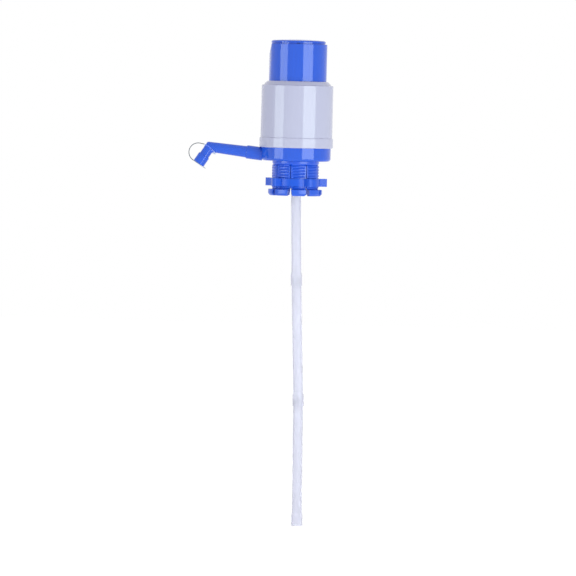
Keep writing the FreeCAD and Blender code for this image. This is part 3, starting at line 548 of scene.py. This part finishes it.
def addCollar():
    low, high = reach("neck_collar")
    lipTop = low.z + collar["lipHeight"]
    threadLow = lipTop + collar["blend"]
    rows = round((collar["threadTop"] - threadLow) / collar["pitch"] * collar["rows"])
    rise = (collar["threadTop"] - threadLow) / rows
    corners = [(collar["bore"] + collar["leadIn"], low.z), (collar["lip"] - collar["taper"], low.z, 0.4),
               (collar["lip"], low.z + collar["taperHeight"], 0.6), (collar["lip"], lipTop, 0.5),
               (collar["root"] + collar["blend"], lipTop)]
    corners += [(collar["root"], threadLow + rise * row) for row in range(rows + 1)]
    corners += [(collar["flange"], collar["flangeLow"]), (collar["flange"], collar["flangeTop"]),
                (collar["tongueOuter"], collar["flangeTop"]), (collar["tongueOuter"], high.z),
                (collar["tongueInner"], high.z), (collar["tongueInner"], collar["flangeTop"]),
                (collar["bore"], collar["flangeTop"]), (collar["bore"], low.z + collar["leadInHeight"])]
    bm = lathe(corners, steps=collar["steps"])
    for vert in bm.verts:
        radius = vert.co.xy.length / mm
        height = vert.co.z / mm
        if abs(radius - collar["root"]) < 0.01 and threadLow < height < collar["threadTop"]:
            bearing = math.atan2(vert.co.y, vert.co.x)
            vert.co.xy *= (radius + threadLift(bearing, height, threadLow)) / radius
    slots = slotTool(collar["slot"], collar["slot"], collar["slotTop"], low.z - 1)
    bm = joined(bm, slots, "DIFFERENCE")
    gaps = slotTool(collar["gap"], collar["gapFoot"], lipTop + collar["gapAbove"], low.z - 1)
    bm = joined(bm, gaps, "DIFFERENCE")
    return piece("neckCollar", bm, "blue_gloss", "pump", ["neck_collar"], angle=50, look="blue_satin")


# clamp nut: a plain ring with five tapered lugs for the fingers of the hand
nut = {"edge": 33.0, "bore": 31.65, "soft": 0.5, "lugs": 5, "turn": -60.5, "reach": 43.1, "root": 31.8,
       "width": 9.2, "tip": 5.6, "tipSoft": 1.5}


def lugTool(low, high):
    bm = bmesh.new()
    for lug in range(nut["lugs"]):
        made = bmesh.ops.create_cube(bm, size=1.0)["verts"]
        long = nut["reach"] - nut["root"]
        bmesh.ops.scale(bm, verts=made, vec=(long * mm, nut["width"] * mm, (high - low) * mm))
        outer = [vert for vert in made if vert.co.x > 0]
        bmesh.ops.scale(bm, verts=outer, vec=(1, nut["tip"] / nut["width"], 1))
        bmesh.ops.translate(bm, verts=made, vec=((nut["root"] + long / 2) * mm, 0, (high + low) / 2 * mm))
        tips = set(edge for vert in outer for edge in vert.link_edges)
        upright = [edge for edge in tips if (edge.verts[0].co - edge.verts[1].co).xy.length < 1e-6]
        soft = bmesh.ops.bevel(bm, geom=upright, offset=nut["tipSoft"] * mm, offset_type="OFFSET",
                               segments=4, profile=0.5, affect="EDGES", material=-1)
        whole = set(vert for vert in made if vert.is_valid) | set(soft["verts"])
        turn = Matrix.Rotation(math.radians(nut["turn"] + 360 / nut["lugs"] * lug), 3, "Z")
        bmesh.ops.rotate(bm, verts=list(whole), cent=(0, 0, 0), matrix=turn)
    return bm


def addNut():
    low, high = reach("clamp_nut")
    corners = [(nut["edge"], low.z, nut["soft"]), (nut["edge"], high.z, nut["soft"]),
               (nut["bore"], high.z, 0.3), (nut["bore"], low.z, 0.3)]
    bm = joined(lathe(corners, steps=160), lugTool(low.z, high.z), "UNION")
    return piece("clampNut", bm, "blue_gloss", "nut", ["clamp_nut"], look="blue_worn")


# dip tube: three push-fit lengths with a softly flared socket at each lower end
dipTube = {"edge": 6.7, "bore": 5.7, "length": 171.5, "overlap": 10.0, "socketEdge": 7.6, "socketBore": 6.72,
           "socketDepth": 14.0, "cone": 4.0, "stop": 8.0, "soft": 0.35, "leans": (1.7, 2.2, 0.75)}


def addTubes():
    top = Vector((0, 0, dipTube["stop"]))
    names = (("tubeUpper", "dip_tube_upper"), ("tubeMiddle", "dip_tube_middle"),
             ("tubeLower", "dip_tube_lower"))
    for (name, node), lean in zip(names, dipTube["leans"]):
        down = Vector((math.sin(math.radians(lean)), 0, -math.cos(math.radians(lean))))
        socket = dipTube["length"] - dipTube["socketDepth"]
        soft = dipTube["soft"]
        corners = [(dipTube["bore"], 0, soft), (dipTube["bore"], socket),
                   (dipTube["socketBore"], socket, 0.4), (dipTube["socketBore"], dipTube["length"], soft),
                   (dipTube["socketEdge"], dipTube["length"], soft), (dipTube["socketEdge"], socket, 1.6),
                   (dipTube["edge"], socket - dipTube["cone"], 1.6), (dipTube["edge"], 0, soft)]
        bm = lathe(corners, steps=64)
        stand(bm, top, down)
        piece(name, bm, "tube_clear", "pump", [node])
        top = top + down * (dipTube["length"] - dipTube["overlap"])


# spout: a moulded elbow whose arm rises along the boss's own axis, and a nozzle with a sleeve at its mouth
spout = {"face": (-66.5, 0, 14.33), "rise": 6.2, "run": 49.1, "flare": 8.1, "flareRun": 0.8,
         "armStart": 7.75, "armEnd": 6.8, "armBore": 4.6, "lean": 33.4, "length": 26.7, "nozzle": 6.75,
         "sleeve": 8.0, "sleeveRun": 13.1, "bore": 4.8, "spigot": 6.2, "spigotBore": 4.0,
         "spigotBoreEnd": 6.0, "spigotRun": 17.0, "seal": 10.5, "grooveHalf": 1.0, "grooveDepth": 1.2,
         "grooveFloor": 0.7,
         "soft": 0.45, "elbowSoft": 1.7, "steps": 96}


def leaning(degrees):
    # unit vector in the XZ plane, that far from -X towards +Z
    turn = math.radians(degrees)
    return Vector((-math.cos(turn), 0, math.sin(turn)))


boss = Vector(spout["face"])
armWay = leaning(spout["rise"])
elbow = boss + armWay * spout["run"]
nozzleWay = leaning(spout["lean"] - 90)
mitreWay = (armWay + nozzleWay).normalized()
mouth = elbow + nozzleWay * spout["length"]


def hose(stations, steps, softness):
    # rings carried from station to station: middle, direction, radius, and whether its rim is rounded,
    # laid on the elbow's mitre or left alone; the last station closes on the first
    yWay = Vector((0, 1, 0))
    bm = bmesh.new()
    middle, way, radius, edge = stations[0]
    bmesh.ops.create_circle(bm, segments=steps, radius=radius * mm, cap_ends=False)
    stand(bm, middle, way)
    rim = bm.edges[:]
    rims = {"round": [], "mitre": []}
    for nextMiddle, nextWay, nextRadius, edge in stations[1:]:
        made = bmesh.ops.extrude_edge_only(bm, edges=rim)["geom"]
        verts = set(part for part in made if isinstance(part, bmesh.types.BMVert))
        side, nextSide = way.cross(yWay), nextWay.cross(yWay)
        for vert in verts:
            arm = vert.co / mm - middle
            angle = math.atan2(arm.dot(yWay), arm.dot(side))
            spot = nextMiddle + (nextSide * math.cos(angle) + yWay * math.sin(angle)) * nextRadius
            if edge == "mitre":
                spot += nextWay * ((elbow - spot).dot(mitreWay) / nextWay.dot(mitreWay))
            vert.co = spot * mm
        rim = [part for part in made if isinstance(part, bmesh.types.BMEdge) and set(part.verts) <= verts]
        if edge in rims:
            rims[edge].append(rim)
        middle, way = nextMiddle, nextWay
    tidy(bm)
    for edge, width in softness.items():
        geom = [part for loop in rims[edge] for part in loop if part.is_valid]
        bmesh.ops.bevel(bm, geom=geom, offset=width * mm, offset_type="OFFSET", segments=4, profile=0.5,
                        affect="EDGES", material=-1)
    return bm


def addSpout():
    def along(distance):
        return boss + armWay * distance

    def down(distance):
        return elbow + nozzleWay * distance
    inmost, seat, half = -spout["spigotRun"], -spout["seal"], spout["grooveHalf"]
    floorRadius = spout["spigot"] - spout["grooveDepth"]
    sleeveTop = spout["length"] - spout["sleeveRun"]
    stations = [(along(inmost), armWay, spout["spigotBore"], ""),
                (along(inmost), armWay, spout["spigot"], "round"),
                (along(seat - half), armWay, spout["spigot"], ""),
                (along(seat - half * spout["grooveFloor"]), armWay, floorRadius, ""),
                (along(seat + half * spout["grooveFloor"]), armWay, floorRadius, ""),
                (along(seat + half), armWay, spout["spigot"], ""),
                (along(0), armWay, spout["spigot"], ""),
                (along(0), armWay, spout["flare"], ""),
                (along(spout["flareRun"]), armWay, spout["armStart"], ""),
                (elbow, armWay, spout["armEnd"], "mitre"),
                (down(sleeveTop), nozzleWay, spout["nozzle"], "round"),
                (down(sleeveTop), nozzleWay, spout["sleeve"], "round"),
                (down(spout["length"]), nozzleWay, spout["sleeve"], "round"),
                (down(spout["length"]), nozzleWay, spout["bore"], "round"),
                (elbow, nozzleWay, spout["bore"], "mitre"),
                (along(spout["spigotBoreEnd"]), armWay, spout["armBore"], ""),
                (along(spout["spigotBoreEnd"]), armWay, spout["spigotBore"], ""),
                (along(inmost), armWay, spout["spigotBore"], "")]
    bm = hose(stations, spout["steps"], {"round": spout["soft"], "mitre": spout["elbowSoft"]})
    return piece("spoutElbow", bm, "blue_gloss", "pump", ["spout_arm", "spout_nozzle"])


# strap ring: an oval of soft wire stretched round the elbow, its front half a little higher
ring = {"long": 9.5, "short": 7.4, "wire": 0.8, "lean": 40.1, "tilt": 13.0, "drop": 2.95, "bearing": -88.0,
        "steps": 72, "sides": 14, "bite": 0.1}
ringMiddle = elbow + leaning(ring["bearing"]) * ring["drop"]
ringTip = ringMiddle + leaning(ring["lean"]) * (ring["long"] + ring["wire"] - ring["bite"])


def addRing():
    bm = bmesh.new()
    bmesh.ops.create_circle(bm, segments=ring["sides"], radius=ring["wire"] * mm, cap_ends=False)
    stand(bm, (ring["long"], 0, 0), (0, 1, 0))
    bmesh.ops.spin(bm, geom=bm.verts[:] + bm.edges[:], cent=(0, 0, 0), axis=(0, 0, 1), dvec=(0, 0, 0),
                   angle=math.tau, steps=ring["steps"], use_merge=True)
    bmesh.ops.scale(bm, verts=bm.verts, vec=(1, ring["short"] / ring["long"], 1))
    longWay = leaning(ring["lean"])
    shortWay = Matrix.Rotation(math.radians(ring["tilt"]), 3, longWay) @ Vector((0, 1, 0))
    axes = Matrix((longWay, shortWay, longWay.cross(shortWay))).transposed()
    bmesh.ops.rotate(bm, verts=bm.verts, cent=(0, 0, 0), matrix=axes)
    bmesh.ops.translate(bm, verts=bm.verts, vec=ringMiddle * mm)
    return piece("strapRing", bm, "ring_clear", "pump", ["strap_ring"], angle=60, weighted=False)


# dust cap: a thin disc with a hollow plug, a pull tab and a strap back to the ring on the elbow
dustCap = {"disc": 8.2, "thick": 1.0, "soft": 0.35, "plug": 4.74, "plugRun": 6.0, "wall": 0.9,
           "tabReach": 11.4, "tabWidth": 4.0, "tabRoot": 6.0}


def addDustCap():
    inner = dustCap["plug"] - dustCap["wall"]
    corners = [(0, dustCap["thick"]), (dustCap["disc"], dustCap["thick"], dustCap["soft"]),
               (dustCap["disc"], 0, dustCap["soft"]), (dustCap["plug"], 0, 0.3),
               (dustCap["plug"], -dustCap["plugRun"], 0.4), (inner, -dustCap["plugRun"], 0.3),
               (inner, 0, 0.5), (0, 0)]
    bm = lathe(corners, steps=64)
    tab = bmesh.new()
    bmesh.ops.create_cube(tab, size=1.0)
    bmesh.ops.scale(tab, verts=tab.verts, vec=((dustCap["tabReach"] - dustCap["tabRoot"]) * mm,
                                               dustCap["tabWidth"] * mm, dustCap["thick"] * mm))
    bmesh.ops.translate(tab, verts=tab.verts, vec=(-(dustCap["tabReach"] + dustCap["tabRoot"]) / 2 * mm, 0,
                                                   dustCap["thick"] / 2 * mm))
    bmesh.ops.bevel(tab, geom=tab.edges[:], offset=dustCap["soft"] * mm, offset_type="OFFSET", segments=3,
                    profile=0.5, affect="EDGES", material=-1)
    bm = joined(bm, tab, "UNION")
    stand(bm, mouth, nozzleWay)
    return piece("dustCap", bm, "strap_clear", "dust_cap", ["mouth_cap"], look="cap_clear")


strap = {"loop": 12.4, "wire": 0.55, "start": 240, "gap": 0.08, "steps": 72}


def addStrap():
    across = nozzleWay.cross(Vector((0, 1, 0)))
    start = mouth - across * (dustCap["disc"] + strap["gap"]) + nozzleWay * (dustCap["thick"] / 2)
    first = math.radians(strap["start"])
    middle = start - Vector((math.cos(first), 0, math.sin(first))) * strap["loop"]
    end = ringTip
    toEnd = end - middle
    leave = math.atan2(toEnd.z, toEnd.x) + math.acos(strap["loop"] / toEnd.length)
    bm = bmesh.new()
    bmesh.ops.create_circle(bm, segments=12, radius=strap["wire"] * mm, cap_ends=False)
    stand(bm, start, (math.sin(first), 0, -math.cos(first)))
    swept = bmesh.ops.spin(bm, geom=bm.verts[:] + bm.edges[:], cent=middle * mm, axis=(0, 1, 0),
                           dvec=(0, 0, 0), angle=first - leave, steps=strap["steps"], use_merge=False)
    last = [part for part in swept["geom_last"] if isinstance(part, bmesh.types.BMEdge)]
    run = bmesh.ops.extrude_edge_only(bm, edges=last)["geom"]
    ring = [part for part in run if isinstance(part, bmesh.types.BMVert)]
    leaving = middle + Vector((math.cos(leave), 0, math.sin(leave))) * strap["loop"]
    bmesh.ops.translate(bm, verts=ring, vec=(end - leaving) * mm)
    bmesh.ops.holes_fill(bm, edges=bm.edges)
    ob = piece("capStrap", bm, "strap_clear", None, ["cap_strap"], angle=60, weighted=False)
    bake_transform(ob)
    return ob


# bellows: soft round folds between a flange on the valve plate and one under the cap's deck
bellows = {"crest": 32.5, "root": 25.2, "wall": 1.2, "folds": 14, "flange": 42.0, "topFlange": 33.0,
           "sheet": 1.4, "neck": 4.6, "soft": 1.1}


def addBellows():
    low, high = reach("bellows")
    first = low.z + bellows["sheet"] + bellows["neck"]
    step = (high.z - bellows["sheet"] - bellows["neck"] - first) / bellows["folds"]
    soft = bellows["soft"]
    root = bellows["root"] + bellows["wall"]
    outer = [(root, first, soft)]
    inner = [(bellows["root"], first, soft)]
    for fold in range(bellows["folds"]):
        outer += [(bellows["crest"], first + step * (fold + 0.5), soft),
                  (root, first + step * (fold + 1), soft)]
        inner += [(bellows["crest"] - bellows["wall"], first + step * (fold + 0.5), soft),
                  (bellows["root"], first + step * (fold + 1), soft)]
    corners = [(bellows["root"], low.z), (bellows["flange"], low.z, 0.3),
               (bellows["flange"], low.z + bellows["sheet"], 0.3), (root, low.z + bellows["sheet"], 0.6)]
    corners += outer + [(root, high.z - bellows["sheet"], 0.6),
                        (bellows["topFlange"], high.z - bellows["sheet"], 0.3),
                        (bellows["topFlange"], high.z, 0.3), (bellows["root"], high.z)]
    ob = piece("bellowsFolds", lathe(corners + inner[::-1], steps=96), "bellows_white", None, ["bellows"],
               angle=60, weighted=False)
    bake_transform(ob)


spring = {"middle": 16.0, "wire": 1.0, "pitch": 11.05, "stepsPerTurn": 32, "sides": 10}


def addSpring():
    low, high = reach("return_spring")
    foot = low.z + spring["wire"]
    turns = (high.z - spring["wire"] - foot) / spring["pitch"]
    steps = round(turns * spring["stepsPerTurn"])
    bm = bmesh.new()
    bmesh.ops.create_circle(bm, segments=spring["sides"], radius=spring["wire"] * mm, cap_ends=False)
    stand(bm, (spring["middle"], 0, foot), (0, 1, 0))
    bmesh.ops.spin(bm, geom=bm.verts[:] + bm.edges[:], cent=(0, 0, 0), axis=(0, 0, 1),
                   dvec=(0, 0, turns * spring["pitch"] / steps * mm), angle=turns * math.tau, steps=steps,
                   use_merge=False)
    bmesh.ops.holes_fill(bm, edges=bm.edges)
    ob = piece("returnSpring", bm, "spring_steel", None, ["return_spring"], angle=60, weighted=False)
    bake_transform(ob)


addBarrel()
addPressCap()
addLid()
print("barrel and cap made")
addCollar()
addNut()
print("collar and nut made")
addTubes()
print("dip tubes made")
addSpout()
addRing()
addDustCap()
addStrap()
print("spout and dust cap made")
addBellows()
addSpring()
print("bellows and spring made")


floor = {"below": 0.6, "half": 6.0, "shadow": 0.12, "white": 1.12, "colour": (0.8, 0.8, 0.8), "rough": 0.9}


def addFloor():
    bm = bmesh.new()
    bmesh.ops.create_grid(bm, x_segments=1, y_segments=1, size=floor["half"])
    bmesh.ops.translate(bm, verts=bm.verts, vec=(0, 0, cadBox[0].z - floor["below"] * mm))
    ob = objectOf("floor", bm)
    material, nodes, links, shader = newMaterial("floor")
    shader.inputs["Base Color"].default_value = (*floor["colour"], 1)
    shader.inputs["Roughness"].default_value = floor["rough"]
    white = nodes.new("ShaderNodeEmission")
    white.inputs["Strength"].default_value = floor["white"]
    share = nodes.new("ShaderNodeMath")
    share.operation = "MULTIPLY"
    share.inputs[1].default_value = 1 - floor["shadow"]
    links.new(seenDirectly(nodes, links), share.inputs[0])
    mix = nodes.new("ShaderNodeMixShader")
    links.new(share.outputs[0], mix.inputs["Fac"])
    links.new(shader.outputs[0], mix.inputs[1])
    links.new(white.outputs[0], mix.inputs[2])
    links.new(mix.outputs[0], nodes["Material Output"].inputs["Surface"])
    ob.data.materials.append(material)


addFloor()
print("floor laid")
